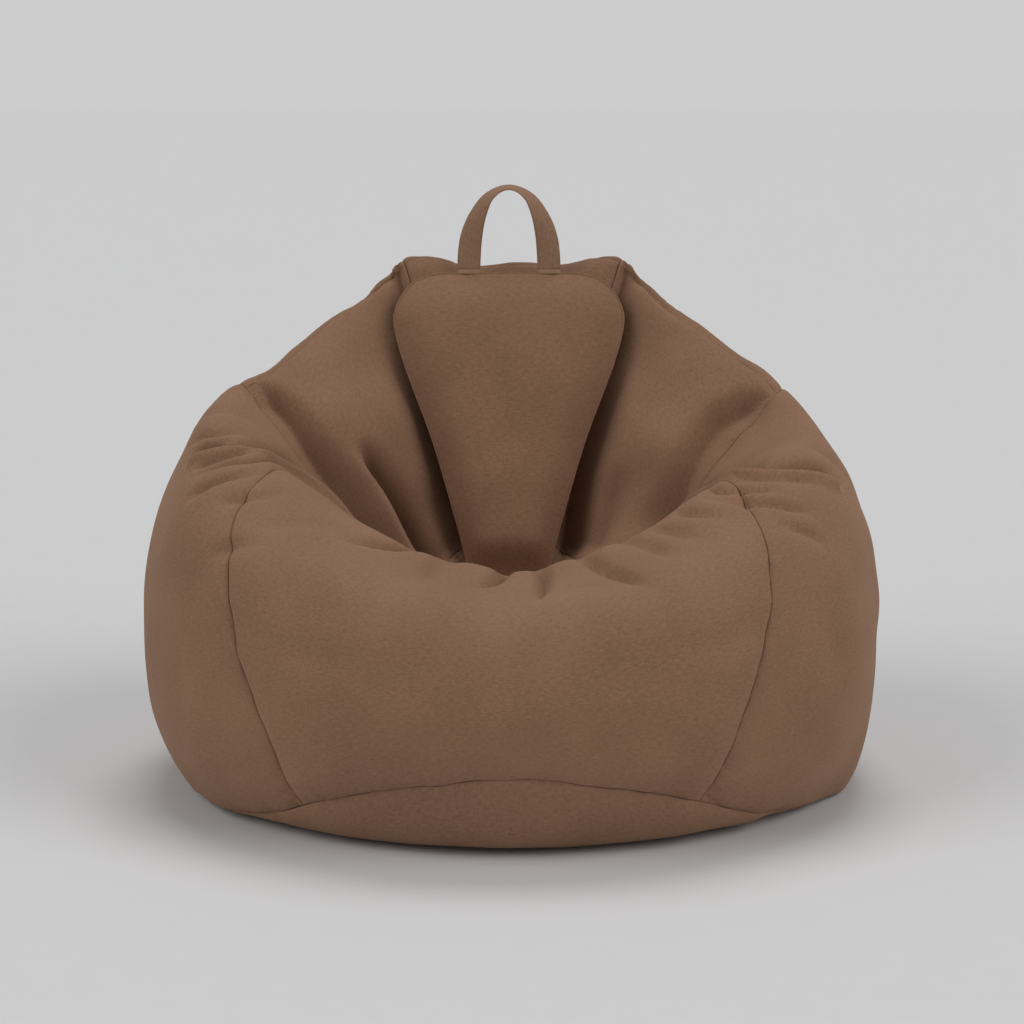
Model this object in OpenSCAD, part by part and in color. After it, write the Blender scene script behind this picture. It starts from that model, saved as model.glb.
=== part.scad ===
// Bean bag chair: a sewn fabric cover over a liner of loose beads, with a padded backrest,
// a strap handle on top and a zip across the underside.
// Millimetres, +Z up. The seat faces -Y. The origin is the middle of the flat underside.
// The zips run along X and are drawn closed, with their sliders at the +X end.

/* [Bag] */
// Width of the bag across its belly
bag_w = 910; // [880:5:940]
// Depth of the bag from front to back
bag_d = 875; // [850:5:900]
// Height of the backrest's top edge
back_h = 605; // [595:1:610]

/* [Cover] */
// Thickness of the cover fabric
fabric_t = 2; // [1.6:0.1:2.2]
// Gap between two panels at a seam
seam_gap = 1; // [0.8:0.1:1.4]

/* [Backrest pad] */
// Widest part of the pad, near its top
pad_w = 292; // [270:2:300]
// Thickness of the pad in the middle
pad_t = 34; // [26:1:38]
// Thickness of the pad at its edge
pad_edge_t = 8; // [7:0.5:10]

/* [Handle] */
// Width of the handle's strap
strap_w = 30; // [25:1:34]
// Thickness of the handle's strap
strap_t = 3; // [2:0.5:4]
// Height of the handle above its seam
handle_h = 105; // [95:5:115]
// Distance between the middles of the handle's two feet
handle_span = 104; // [100:2:112]

/* [Zip] */
// Length of the zip in the base
zip_l = 500; // [440:10:540]
// Length of the zip in the liner
liner_zip_l = 300; // [240:10:340]
// Distance from one zip tooth to the next
tooth_pitch = 5; // [4:0.5:6]

/* [Hidden] */

fabric_colour = [0.50, 0.39, 0.31];
liner_colour = [0.85, 0.84, 0.80];
metal_colour = [0.55, 0.52, 0.48];
tape_colour = [0.36, 0.27, 0.21];

// ---- The bag's form -------------------------------------------------------------------------
// Its outline in nine directions, from the front round to the back, drawn for a bag 910 wide,
// 875 deep and 605 high: [direction, [[distance out, height], ...]] at the floor edge, base
// seam, belly, upper side, rim, upper wall, lower wall and seat.
OUTLINES = [
    [  0, [[325, 0], [415, 98], [438, 196], [386, 284], [235, 301], [150, 255], [ 95, 220], [45, 200]]],
    [ 30, [[325, 0], [411, 70], [442, 194], [394, 310], [252, 327], [165, 272], [100, 222], [46, 201]]],
    [ 60, [[330, 0], [412, 32], [452, 196], [415, 358], [318, 402], [215, 325], [120, 245], [50, 207]]],
    [ 85, [[345, 0], [420, 26], [455, 200], [419, 376], [353, 440], [240, 366], [135, 268], [52, 215]]],
    [106, [[352, 0], [420, 24], [455, 206], [400, 398], [355, 472], [250, 402], [140, 292], [52, 221]]],
    [130, [[350, 0], [412, 22], [450, 218], [386, 436], [327, 533], [240, 466], [138, 330], [50, 228]]],
    [148, [[344, 0], [406, 20], [445, 228], [382, 458], [287, 606], [244, 590], [130, 378], [48, 237]]],
    [168, [[338, 0], [402, 20], [440, 236], [375, 460], [287, 600], [214, 592], [118, 390], [46, 240]]],
    [180, [[338, 0], [400, 20], [438, 237], [372, 460], [281, 600], [211, 592], [115, 390], [45, 240]]]];
seat_h = 198;
LAST = len(OUTLINES) - 1;
AROUND = 2 * LAST;      // directions all the way round
QUARTER = 4;            // the direction out to the side
BACK = LAST;            // the direction out to the rear
FLOOR = 1;              // stations along an outline, from the base's middle to the seat's middle
BASE_SEAM = 2;
RIM = 5.2;
LOWER_WALL = 7;
TOP = 9;
scale_x = bag_w / 910;
scale_y = bag_d / 875;
scale_z = back_h / 605;

function wrap(i) = ((i % AROUND) + AROUND) % AROUND;

// A point of the net: direction i, counted from the front towards +X, at station k.
function net_point(i, k) =
    k < 0 ? -net_point(i, 1) :
    k == 0 ? [0, 0, 0] :
    k == TOP ? [0, 0, seat_h * scale_z] :
    k > TOP ? net_point(i + LAST, TOP - 1) :
    let (w = wrap(i),
         side = w > LAST ? -1 : 1,
         outline = OUTLINES[w > LAST ? AROUND - w : w],
         out = outline[1][k - 1][0],
         height = outline[1][k - 1][1])
    [side * out * sin(outline[0]) * scale_x, -out * cos(outline[0]) * scale_y, height * scale_z];

// A smooth curve through b and c, with a and d as their neighbours.
function through(a, b, c, d, t) =
    0.5 * (2 * b + (c - a) * t + (2 * a - 5 * b + 4 * c - d) * t * t + (3 * b - a - 3 * c + d) * t * t * t);

function ring_point(u, k) =
    let (i = floor(u), t = u - i)
    through(net_point(i - 1, k), net_point(i, k), net_point(i + 1, k), net_point(i + 2, k), t);

// The bag's surface: u runs round it from the front, s runs up the outline.
function skin(u, s) =
    let (k = min(floor(s), TOP - 1), t = s - k)
    through(ring_point(u, k - 1), ring_point(u, k), ring_point(u, k + 1), ring_point(u, k + 2), t);

function unit(v) = v / norm(v);

function outward(u, s) =
    s < 0.05 ? [0, 0, -1] :
    s > TOP - 0.05 ? unit(cross(ring_point(QUARTER, TOP - 1) - ring_point(-QUARTER, TOP - 1),
                                ring_point(BACK, TOP - 1) - ring_point(0, TOP - 1))) :
    unit(cross(skin(u + 0.02, s) - skin(u - 0.02, s), skin(u, s + 0.02) - skin(u, s - 0.02)));

// A point at a depth under the surface, kept above a level and below a ceiling.
function under(u, s, depth, level, ceiling = 1000) =
    let (p = skin(u, s) - depth * outward(u, s))
    [p.x, p.y, min(max(p.z, level), ceiling)];

// ---- Seams: where each one lies, as u at station s ------------------------------------------
function arm_seam(s) = 1.15 + 0.26 * (s - BASE_SEAM);
function rear_seam(s) = s < RIM ? 5.25 - 1.25 * (s - BASE_SEAM) / (RIM - BASE_SEAM) : 4 - 0.22 * (s - RIM);
EAR = 6;
GUSSET_FRONT = 5.85;

// Stations of the rows of points on every panel and on the liner, closest at the tight bends.
STATIONS = [BASE_SEAM, 2.15, 2.35, 2.7, 3.1, 3.5, 3.9, 4.3, 4.6, 4.8, 5,
            RIM, 5.4, 5.6, GUSSET_FRONT, 6.1, 6.4, 6.7, LOWER_WALL];

// ---- Shells ---------------------------------------------------------------------------------
function flat(list) = [for (part = list) each part];
function steps(from, to, count) = [for (i = [0:count]) from + (to - from) * i / count];

// Two triangles for the four corners a, b, c, d, turned over if flip is true.
function quad(a, b, c, d, flip) = flip ? [[a, c, b], [a, d, c]] : [[a, b, c], [a, c, d]];

// A closed solid between two equal grids of points, the first one on the outside.
module sheet_solid(outer, inner) {
    rows = len(outer);
    cols = len(outer[0]);
    far = rows * cols;
    faces = flat([
        for (r = [0:rows - 2], c = [0:cols - 2])
            let (a = r * cols + c)
            concat(quad(a, a + cols, a + cols + 1, a + 1, false),
                   quad(far + a, far + a + cols, far + a + cols + 1, far + a + 1, true)),
        for (r = [0:rows - 2])
            let (a = r * cols, b = a + cols - 1)
            concat(quad(a, far + a, far + a + cols, a + cols, false),
                   quad(b, far + b, far + b + cols, b + cols, true)),
        for (c = [0:cols - 2])
            let (a = c, b = (rows - 1) * cols + c)
            concat(quad(a, far + a, far + a + 1, a + 1, true),
                   quad(b, far + b, far + b + 1, b + 1, false))]);
    polyhedron(concat(flat(outer), flat(inner)), faces);
}

// A closed solid between two equal dishes, each a middle point and its rings.
module dish_solid(outer_middle, outer, inner_middle, inner) {
    rings = len(outer);
    cols = len(outer[0]);
    far = 1 + rings * cols;
    faces = flat([
        for (c = [0:cols - 1])
            let (d = (c + 1) % cols, a = 1 + (rings - 1) * cols)
            concat([[0, 1 + c, 1 + d], [far, far + 1 + d, far + 1 + c]],
                   quad(a + c, far + a + c, far + a + d, a + d, false)),
        for (r = [0:rings - 2], c = [0:cols - 1])
            let (d = (c + 1) % cols, a = 1 + r * cols)
            concat(quad(a + c, a + cols + c, a + cols + d, a + d, false),
                   quad(far + a + c, far + a + cols + c, far + a + cols + d, far + a + d, true))]);
    polyhedron(concat([outer_middle], flat(outer), [inner_middle], flat(inner)), faces);
}

// The panel between two seams: from(s) to to(s) round the bag, and from station s0 up to s1.
module panel(s0, s1, cols, from, to, depth = 0, thickness = fabric_t) {
    gap = seam_gap / 2;
    rows = concat([s0 + gap / 100], [for (s = STATIONS) if (s > s0 && s < s1) s], [s1 - gap / 100]);
    function side_gap(s) = gap * 2 / norm(skin(from(s) + 1, s) - skin(from(s) - 1, s));
    function grid(d) = [
        for (s = rows)
            [for (u = steps(from(s) + side_gap(s), to(s) - side_gap(s), cols)) under(u, s, d, 0)]];
    color(fabric_colour) sheet_solid(grid(depth), grid(depth + thickness));
}

// A dish round the middle of the base or the seat. Its two faces lie at two depths under the
// surface, each kept above its own level and below its own ceiling.
module dish(stations, cols, middle, depths, levels, tint, ceilings = [1000, 1000]) {
    function face(i, u, s) = under(u, s, depths[i], levels[i], ceilings[i]);
    function rings(i) = [for (s = stations) [for (c = [0:cols - 1]) face(i, c * AROUND / cols, s)]];
    color(tint) dish_solid(face(0, 0, middle), rings(0), face(1, 0, middle), rings(1));
}

module mirrored_x(flip) {
    if (flip) mirror([1, 0, 0]) children();
    else children();
}

// ---- Cover panels ---------------------------------------------------------------------------
module front_panel() {
    panel(BASE_SEAM, LOWER_WALL, 12, function(s) -arm_seam(s), function(s) arm_seam(s));
}

module side_panel(left) {
    mirrored_x(left)
        panel(BASE_SEAM, LOWER_WALL, 12, function(s) arm_seam(s), function(s) rear_seam(s));
}

module wing_panel(left) {
    mirrored_x(left)
        panel(RIM, LOWER_WALL, 6, function(s) rear_seam(s), function(s) EAR);
}

module back_panel(left) {
    mirrored_x(left)
        panel(BASE_SEAM, RIM, 12, function(s) rear_seam(s), function(s) BACK);
}

module top_gusset() {
    panel(RIM, GUSSET_FRONT, 12, function(s) EAR, function(s) AROUND - EAR);
}

module back_wall_panel() {
    panel(GUSSET_FRONT, LOWER_WALL, 12, function(s) EAR, function(s) AROUND - EAR);
}

module seat_panel() {
    dish([8.75, 8.4, 7.9, 7.4, LOWER_WALL + seam_gap / 100], 48, TOP, [fabric_t, 0], [0, 0], fabric_colour);
}

module base_half(rear) {
    half = bag_w;
    slot_l = zip_l + 40;
    difference() {
        dish([0.5, FLOOR, 1.3, 1.65, BASE_SEAM - seam_gap / 100], 64, 0, [0, fabric_t], [0, fabric_t],
             fabric_colour);
        translate([-half, rear ? -2 * half + seam_gap / 2 : -seam_gap / 2, -half]) cube(2 * half);
        translate([-slot_l / 2, -slot_half, -half]) cube([slot_l, 2 * slot_half, 2 * half]);
    }
}

module care_label() {
    color("white")
    panel(BASE_SEAM + 0.06, BASE_SEAM + 0.34, 2, function(s) BACK - 0.9, function(s) BACK - 0.6,
          depth = -0.9, thickness = 0.5);
}

// ---- Backrest pad ---------------------------------------------------------------------------
// It lies on the back wall: [distance up the slope, half width] from its foot to its top.
PAD_SHAPE = [[0, 50], [38, 58], [108, 77], [178, 98], [271, 132], [325, 146], [350, 144], [373, 132],
             [387, 115], [395, 92]];
pad_l = PAD_SHAPE[len(PAD_SHAPE) - 1][0];
pad_foot = [39, 246];
pad_slope = atan2(145, 320);
pad_skin = 1.5;
pad_gap = 0.2;
pad_scale = pad_w / 292;

function pad_height(x, up, share) =
    let (across = 1 - pow(abs(x), 4), along = 1 - pow(abs(2 * up / pad_l - 1), 6))
    share * (pad_edge_t + (pad_t - pad_edge_t) * across * along);

// A sheet over the pad's outline, between two heights above its rear face.
module pad_sheet(low_share, low, high_share, high) {
    xs = steps(-1, 1, 12);
    function grid(share, add) = [
        for (row = PAD_SHAPE)
            [for (x = xs) [x * row[1] * pad_scale, row[0], pad_height(x, row[0], share) + add]]];
    color(fabric_colour)
    translate([0, pad_foot.x, pad_foot.y]) rotate([90 - pad_slope, 0, 0])
        sheet_solid(grid(high_share, high), grid(low_share, low));
}

module pad_front() {
    pad_sheet(1, -pad_skin, 1, 0);
}

module pad_lining() {
    pad_sheet(0, 0, 0, pad_skin);
}

module pad_foam() {
    color("ivory") pad_sheet(0, pad_skin + pad_gap, 1, -pad_skin - pad_gap);
}

// ---- Handle ---------------------------------------------------------------------------------
// Half of the strap's line, as [half span share, height share], from a foot to the top.
HANDLE_LINE = [[1, 0], [0.98, 0.2], [0.92, 0.4], [0.78, 0.62], [0.53, 0.83], [0.27, 0.95], [0, 1]];
handle_axis = [207, 613];
handle_twist = 70;
handle_steps = 4;

function handle_net(i) =
    let (n = len(HANDLE_LINE) - 1)
    i < 0 ? 2 * handle_net(0) - handle_net(1) :
    i > 2 * n ? 2 * handle_net(2 * n) - handle_net(2 * n - 1) :
    i <= n ? [-HANDLE_LINE[i][0] * handle_span / 2, HANDLE_LINE[i][1] * handle_h] :
    [HANDLE_LINE[2 * n - i][0] * handle_span / 2, HANDLE_LINE[2 * n - i][1] * handle_h];

function handle_point(t) =
    let (i = min(floor(t), 2 * (len(HANDLE_LINE) - 1) - 1))
    through(handle_net(i - 1), handle_net(i), handle_net(i + 1), handle_net(i + 2), t - i);

// The strap stands flat to the front at its feet and turns as it goes over the top.
function strap_corners(t) =
    let (n = len(HANDLE_LINE) - 1,
         p = handle_point(t),
         along = handle_point(min(t + 0.05, 2 * n)) - handle_point(max(t - 0.05, 0)),
         out = [-along.y, 0, along.x] / norm(along),
         turn = handle_twist * pow(sin(90 * t / n), 2),
         wide = out * cos(turn) + [0, 1, 0] * sin(turn),
         thick = [0, 1, 0] * cos(turn) - out * sin(turn))
    [for (c = [[-1, -1], [1, -1], [1, 1], [-1, 1]])
        [p.x, 0, p.y] + wide * c.x * strap_w / 2 + thick * c.y * strap_t / 2];

module carry_handle() {
    n = 2 * (len(HANDLE_LINE) - 1);
    rings = [for (t = steps(0, n, n * handle_steps)) strap_corners(t)];
    last = 4 * (len(rings) - 1);
    faces = flat([
        for (r = [0:len(rings) - 2], c = [0:3])
            let (a = 4 * r + c, b = 4 * r + (c + 1) % 4)
            quad(a, a + 4, b + 4, b, true),
        quad(0, 1, 2, 3, true),
        quad(last, last + 1, last + 2, last + 3, false)]);
    color(fabric_colour)
    translate([0, handle_axis.x, handle_axis.y]) polyhedron(flat(rings), faces);
}

// ---- Zips -----------------------------------------------------------------------------------
// Each zip runs along X. Heights are from the middle of its tape.
slot_half = 8;
tape_w = 16.5;
tape_t = 0.8;
tape_inner = 3.5;
tooth = [3, 2.4, 2.4];
tooth_inner = 1;
zip_z = 5.4;
facing_t = 2.9;
liner_zip_y = 60;
liner_zip_z = 11.6;
slider_l = 12;
slider_w = 10;
plate_t = 1.2;
plate_gap = 3.6;
pin_r = 0.5;
pin_z = -4.1;
pull_l = 24;
pull_w = 7;
knuckle_w = 4.4;

module zip_tape(rear, l) {
    color(tape_colour)
    translate([-l / 2 - 10, rear ? tape_inner : -tape_inner - tape_w, -tape_t / 2])
        cube([l + 20, tape_w, tape_t]);
}

module zip_teeth(rear, l) {
    count = floor(l / tooth_pitch) - 1;
    color(metal_colour)
    for (i = [0:count - 1])
        translate([-l / 2 + tooth_pitch * (i + (rear ? 1 : 0.5)),
                   rear ? tooth_inner : -tooth_inner - tooth.y,
                   -tooth.z / 2])
            cube(tooth);
}

module zip_facing(rear) {
    color(fabric_colour)
    translate([-zip_l / 2 - 10, rear ? slot_half : -slot_half - 12, fabric_t + 0.05])
        cube([zip_l + 20, 12, facing_t]);
}

module zip_stop(wide) {
    color(metal_colour)
    translate([-1.5, -wide / 2, -1.5]) cube([3, wide, 3]);
}

// The slider's body: two plates joined by a thin post, with flanges that hold the teeth in.
module slider_body() {
    color(metal_colour) {
        for (z = [-plate_gap / 2 - plate_t, plate_gap / 2])
            translate([-slider_l / 2, -slider_w / 2, z]) cube([slider_l, slider_w, plate_t]);
        translate([slider_l / 2 - 4, -0.6, -plate_gap / 2 - 0.1]) cube([4, 1.2, plate_gap + 0.2]);
        for (y = [-1, 1], z = [-1, 1])
            translate([-slider_l / 2, y * (slider_w / 2 - 0.4) - 0.4, z * (plate_gap / 2 - 0.35) - 0.45])
                cube([slider_l, 0.8, 0.9]);
    }
}

module slider_lug() {
    color(metal_colour) {
        for (y = [-1, 1])
            translate([-1, y * 3.1 - 0.5, pin_z - 0.9]) cube([2, 1, 2.2]);
        translate([0, 3.4, pin_z]) rotate([90, 0, 0]) cylinder(r = pin_r, h = 6.8, $fn = 24);
    }
}

module zip_slider() {
    translate([zip_l / 2 - 12, 0, zip_z]) {
        slider_body();
        slider_lug();
    }
}

module zip_pull() {
    color(metal_colour)
    translate([zip_l / 2 - 12, 0, zip_z + pin_z])
    difference() {
        union() {
            translate([0, knuckle_w / 2, 0]) rotate([90, 0, 0]) cylinder(r = 0.9, h = knuckle_w, $fn = 24);
            translate([-6, -knuckle_w / 2, -0.5]) cube([6, knuckle_w, 1]);
            translate([-pull_l + pull_w / 2, -pull_w / 2, -0.5]) cube([pull_l - pull_w / 2 - 5, pull_w, 1]);
            translate([-pull_l + pull_w / 2, 0, -0.5]) cylinder(r = pull_w / 2, h = 1, $fn = 32);
        }
        translate([0, 5, 0]) rotate([90, 0, 0]) cylinder(r = pin_r + 0.05, h = 10, $fn = 24);
        translate([-pull_l + pull_w / 2, 0, -2]) cylinder(r = 1.8, h = 4, $fn = 32);
    }
}

// ---- Liner and beads ------------------------------------------------------------------------
liner_depth = 5;
liner_t = 1;
liner_floor = 10;
liner_top = back_h - 1;
bead_depth = 8;
bead_floor = 16;
bead_top = liner_top - 5;
LINING_STATIONS = concat([8.75, 8.4, 7.9, 7.4],
                         [for (i = [len(STATIONS) - 1:-1:0]) STATIONS[i]],
                         [1.65, 1.25]);
LINING_COLS = 48;

module liner_body() {
    dish(LINING_STATIONS, LINING_COLS, TOP, [liner_depth + liner_t, liner_depth],
         [liner_floor + liner_t, liner_floor], liner_colour, [liner_top - liner_t, liner_top]);
}

module liner_base() {
    difference() {
        dish([0.6, 1.24], LINING_COLS, 0, [liner_depth, liner_depth + liner_t],
             [liner_floor, liner_floor + liner_t], liner_colour);
        translate([-liner_zip_l / 2 - 10, liner_zip_y - slot_half, 0])
            cube([liner_zip_l + 20, 2 * slot_half, 20]);
    }
}

// The beads' settled heap, a closed solid from its flat underside up to the middle of the seat.
module bead_fill() {
    function ring(s) = [
        for (i = [0:LINING_COLS - 1])
            under(i * AROUND / LINING_COLS, s, bead_depth, bead_floor, bead_top)];
    rings = [for (s = concat(LINING_STATIONS, [0.6])) ring(s)];
    last = 1 + (len(rings) - 1) * LINING_COLS;
    bottom = last + LINING_COLS;
    faces = flat([for (c = [0:LINING_COLS - 1])
        let (d = (c + 1) % LINING_COLS)
        concat([[0, 1 + d, 1 + c], [bottom, last + c, last + d]],
               flat([for (r = [0:len(rings) - 2])
                   let (a = 1 + r * LINING_COLS)
                   quad(a + c, a + LINING_COLS + c, a + LINING_COLS + d, a + d, true)]))]);
    color("whitesmoke")
    polyhedron(concat([under(0, TOP, bead_depth, bead_floor)], flat(rings), [[0, 0, bead_floor]]), faces);
}

front_panel();
side_panel(true);  // left_side_panel
side_panel(false);  // right_side_panel
wing_panel(true);  // left_wing_panel
wing_panel(false);  // right_wing_panel
back_panel(true);  // left_back_panel
back_panel(false);  // right_back_panel
back_wall_panel();
top_gusset();
seat_panel();
base_half(false);  // base_front_panel
base_half(true);  // base_rear_panel
care_label();
pad_front();
pad_lining();
pad_foam();
carry_handle();
zip_facing(false);  // front_zip_facing
zip_facing(true);  // rear_zip_facing
translate([0, 0, zip_z]) zip_tape(false, zip_l);  // front_zip_tape
translate([0, 0, zip_z]) zip_tape(true, zip_l);  // rear_zip_tape
translate([0, 0, zip_z]) zip_teeth(false, zip_l);  // front_zip_teeth
translate([0, 0, zip_z]) zip_teeth(true, zip_l);  // rear_zip_teeth
for (y = [-2.2, 2.2]) translate([zip_l / 2 + 1.5, y, zip_z]) zip_stop(2.4);  // zip_top_stops
translate([-zip_l / 2 - 1.5, 0, zip_z]) zip_stop(6.8);  // zip_bottom_stop
zip_slider();
zip_pull();
liner_body();
liner_base();
translate([0, liner_zip_y, liner_zip_z]) zip_tape(false, liner_zip_l);  // front_liner_zip_tape
translate([0, liner_zip_y, liner_zip_z]) zip_tape(true, liner_zip_l);  // rear_liner_zip_tape
translate([0, liner_zip_y, liner_zip_z]) zip_teeth(false, liner_zip_l);  // front_liner_zip_teeth
translate([0, liner_zip_y, liner_zip_z]) zip_teeth(true, liner_zip_l);  // rear_liner_zip_teeth
for (x = [-1, 1]) translate([x * (liner_zip_l / 2 + 1.5), liner_zip_y, liner_zip_z]) zip_stop(6.8);  // liner_zip_stops
translate([liner_zip_l / 2 - 12, liner_zip_y, liner_zip_z]) slider_body();  // liner_zip_slider
bead_fill();
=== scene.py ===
"""Looks of the bean bag chair: sewn cloth over a liner of beads, a backrest pad, a strap handle
and zips.

Lengths are millimetres while the cloth is worked out, and metres in every mesh.
"""

import math

import bpy
import numpy as np
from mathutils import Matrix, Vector


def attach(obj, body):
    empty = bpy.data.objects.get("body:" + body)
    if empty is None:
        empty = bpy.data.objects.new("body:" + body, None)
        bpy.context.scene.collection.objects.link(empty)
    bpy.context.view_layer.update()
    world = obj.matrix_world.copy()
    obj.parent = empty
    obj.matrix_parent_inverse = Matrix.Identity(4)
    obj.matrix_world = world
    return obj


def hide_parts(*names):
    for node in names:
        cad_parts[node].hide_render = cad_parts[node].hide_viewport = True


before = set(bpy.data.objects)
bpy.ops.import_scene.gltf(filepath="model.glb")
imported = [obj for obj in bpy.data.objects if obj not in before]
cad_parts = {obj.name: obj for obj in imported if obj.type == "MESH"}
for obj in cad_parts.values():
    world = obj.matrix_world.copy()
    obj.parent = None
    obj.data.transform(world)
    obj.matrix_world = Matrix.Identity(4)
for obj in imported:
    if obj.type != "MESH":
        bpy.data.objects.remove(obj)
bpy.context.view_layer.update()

MM = 0.001

# ---- The bag's form -----------------------------------------------------------------------------
# The CAD model's outlines, by direction from the front round to the back: [distance out, height] at
# the floor edge, base seam, belly, upper side, rim, upper wall, lower wall and seat.
OUTLINES = {
    0: [[325, 0], [415, 98], [438, 196], [386, 284], [235, 301], [150, 255], [95, 220], [45, 200]],
    30: [[325, 0], [411, 70], [442, 194], [394, 310], [252, 327], [165, 272], [100, 222], [46, 201]],
    60: [[330, 0], [412, 32], [452, 196], [415, 358], [318, 402], [215, 325], [120, 245], [50, 207]],
    85: [[345, 0], [420, 26], [455, 200], [419, 376], [353, 440], [240, 366], [135, 268], [52, 215]],
    106: [[352, 0], [420, 24], [455, 206], [400, 398], [355, 472], [250, 402], [140, 292], [52, 221]],
    130: [[350, 0], [412, 22], [450, 218], [386, 436], [327, 533], [240, 466], [138, 330], [50, 228]],
    148: [[344, 0], [406, 20], [445, 228], [382, 458], [287, 606], [244, 590], [130, 378], [48, 237]],
    168: [[338, 0], [402, 20], [440, 236], [375, 460], [287, 600], [214, 592], [118, 390], [46, 240]],
    180: [[338, 0], [400, 20], [438, 237], [372, 460], [281, 600], [211, 592], [115, 390], [45, 240]],
}
SEAT_HEIGHT = 198
LAST = len(OUTLINES) - 1
# Directions are counted along the outlines: 0 is the front, and they grow towards +X.
AROUND = 2 * LAST
BACK = LAST
EAR = 6                 # the top gusset's corners
# Stations are counted up an outline. The rim, the gusset's front edge and the wall's foot are sewn
# a little beside the CAD model's, on the same surface.
FLOOR = 1
BASE_SEAM = 2
RIM = 5.08
GUSSET_FRONT = 5.6
LOWER_WALL = 7.5
TOP = 9


def outline_net():
    """The net of points that the surface goes through, by direction and station."""
    net = np.zeros((AROUND, TOP + 1, 3))
    outlines = list(OUTLINES.items())
    for i in range(AROUND):
        direction, points = outlines[i if i <= LAST else AROUND - i]
        side = 1 if i <= LAST else -1
        turn = math.radians(direction)
        for k, (out, height) in enumerate(points):
            net[i, k + 1] = side * out * math.sin(turn), -out * math.cos(turn), height
        net[i, TOP] = 0, 0, SEAT_HEIGHT
    return net


NET = outline_net()


def through(a, b, c, d, t):
    """A smooth curve through b and c."""
    t = t[..., None]
    return 0.5 * (2 * b + (c - a) * t + (2 * a - 5 * b + 4 * c - d) * t**2 + (3 * b - a - 3 * c + d) * t**3)


def curve(points, at):
    """The smooth curve through a list of points, at places counted along the list."""
    i = np.minimum(at.astype(int), len(points) - 2)
    padded = np.vstack([2 * points[0] - points[1], points, 2 * points[-1] - points[-2]])
    return through(padded[i], padded[i + 1], padded[i + 2], padded[i + 3], at - i)


def net_at(i, k):
    """A point of the net, which goes on past both ends of an outline."""
    if k < 0:
        return -NET[i % AROUND, 1]
    if k > TOP:
        return NET[(i + LAST) % AROUND, TOP - 1]
    return NET[i % AROUND, k]


def ring_at(u, k):
    """Points of the smooth ring through station k of every outline."""
    i = np.floor(u).astype(int)
    return through(net_at(i - 1, k), net_at(i, k), net_at(i + 1, k), net_at(i + 2, k), u - i)


def skin(u, s):
    """Points of the smooth surface: u runs round it from the front towards +X, s runs up the outline."""
    u, s = np.broadcast_arrays(np.asarray(u, float), np.asarray(s, float))
    points = np.zeros(u.shape + (3,))
    below = np.minimum(np.floor(s).astype(int), TOP - 1)
    for k in range(TOP):
        here = below == k
        if here.any():
            rings = [ring_at(u[here], k + step) for step in (-1, 0, 1, 2)]
            points[here] = through(*rings, s[here] - k)
    return points


def unit(vectors):
    return vectors / np.maximum(np.linalg.norm(vectors, axis=-1, keepdims=True), 1e-9)


def outward(u, s):
    """Unit normals of the smooth surface."""
    step = 0.03         # in directions and stations
    s = np.minimum(s, TOP - 2 * step)
    return unit(np.cross(skin(u + step, s) - skin(u - step, s), skin(u, s + step) - skin(u, s - step)))


# ---- Relief: folds, wrinkles and soft lumps ------------------------------------------------------
WAVES = 9               # waves that a ripple is made of
PITCHES = (0.6, 1.4)    # their range of pitches, in pitches of the length asked for
PHASES = (0, 6.28)


def ripple(points, length, seed):
    """Smooth random heights of about -1 to 1, with bumps about half that length apart."""
    random = np.random.default_rng(seed)
    total = np.zeros(points.shape[:-1])
    for _ in range(WAVES):
        way = unit(random.normal(size=3))
        pitch = 2 * np.pi / length * random.uniform(*PITCHES)
        total += np.sin(points @ way * pitch + random.uniform(*PHASES))
    return total / math.sqrt(WAVES)


def ease(t):
    """A smooth step from 0 to 1."""
    t = np.clip(t, 0, 1)
    return t * t * (3 - 2 * t)


def fold(path, depth, left, right, crisp=0.3, fade=(0.3, 0.3), grow=(1, 1), lip=(0, 0)):
    """A fold along a path of (u, s). A negative depth makes a ridge.

    Left is the left hand of someone who walks along the path on the outside of the cloth. Left
    and right are how far the slopes reach, and lip is the height of the swelling beyond each.
    Crisp is how sharp the bottom is, fade is the share of the length over which each end runs
    out, and grow is the fold's size at its start and its end.
    """
    return {"path": path, "depth": depth, "reach": (right, left), "crisp": crisp,
            "fade": fade, "grow": grow, "lip": (lip[1], lip[0])}


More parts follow.
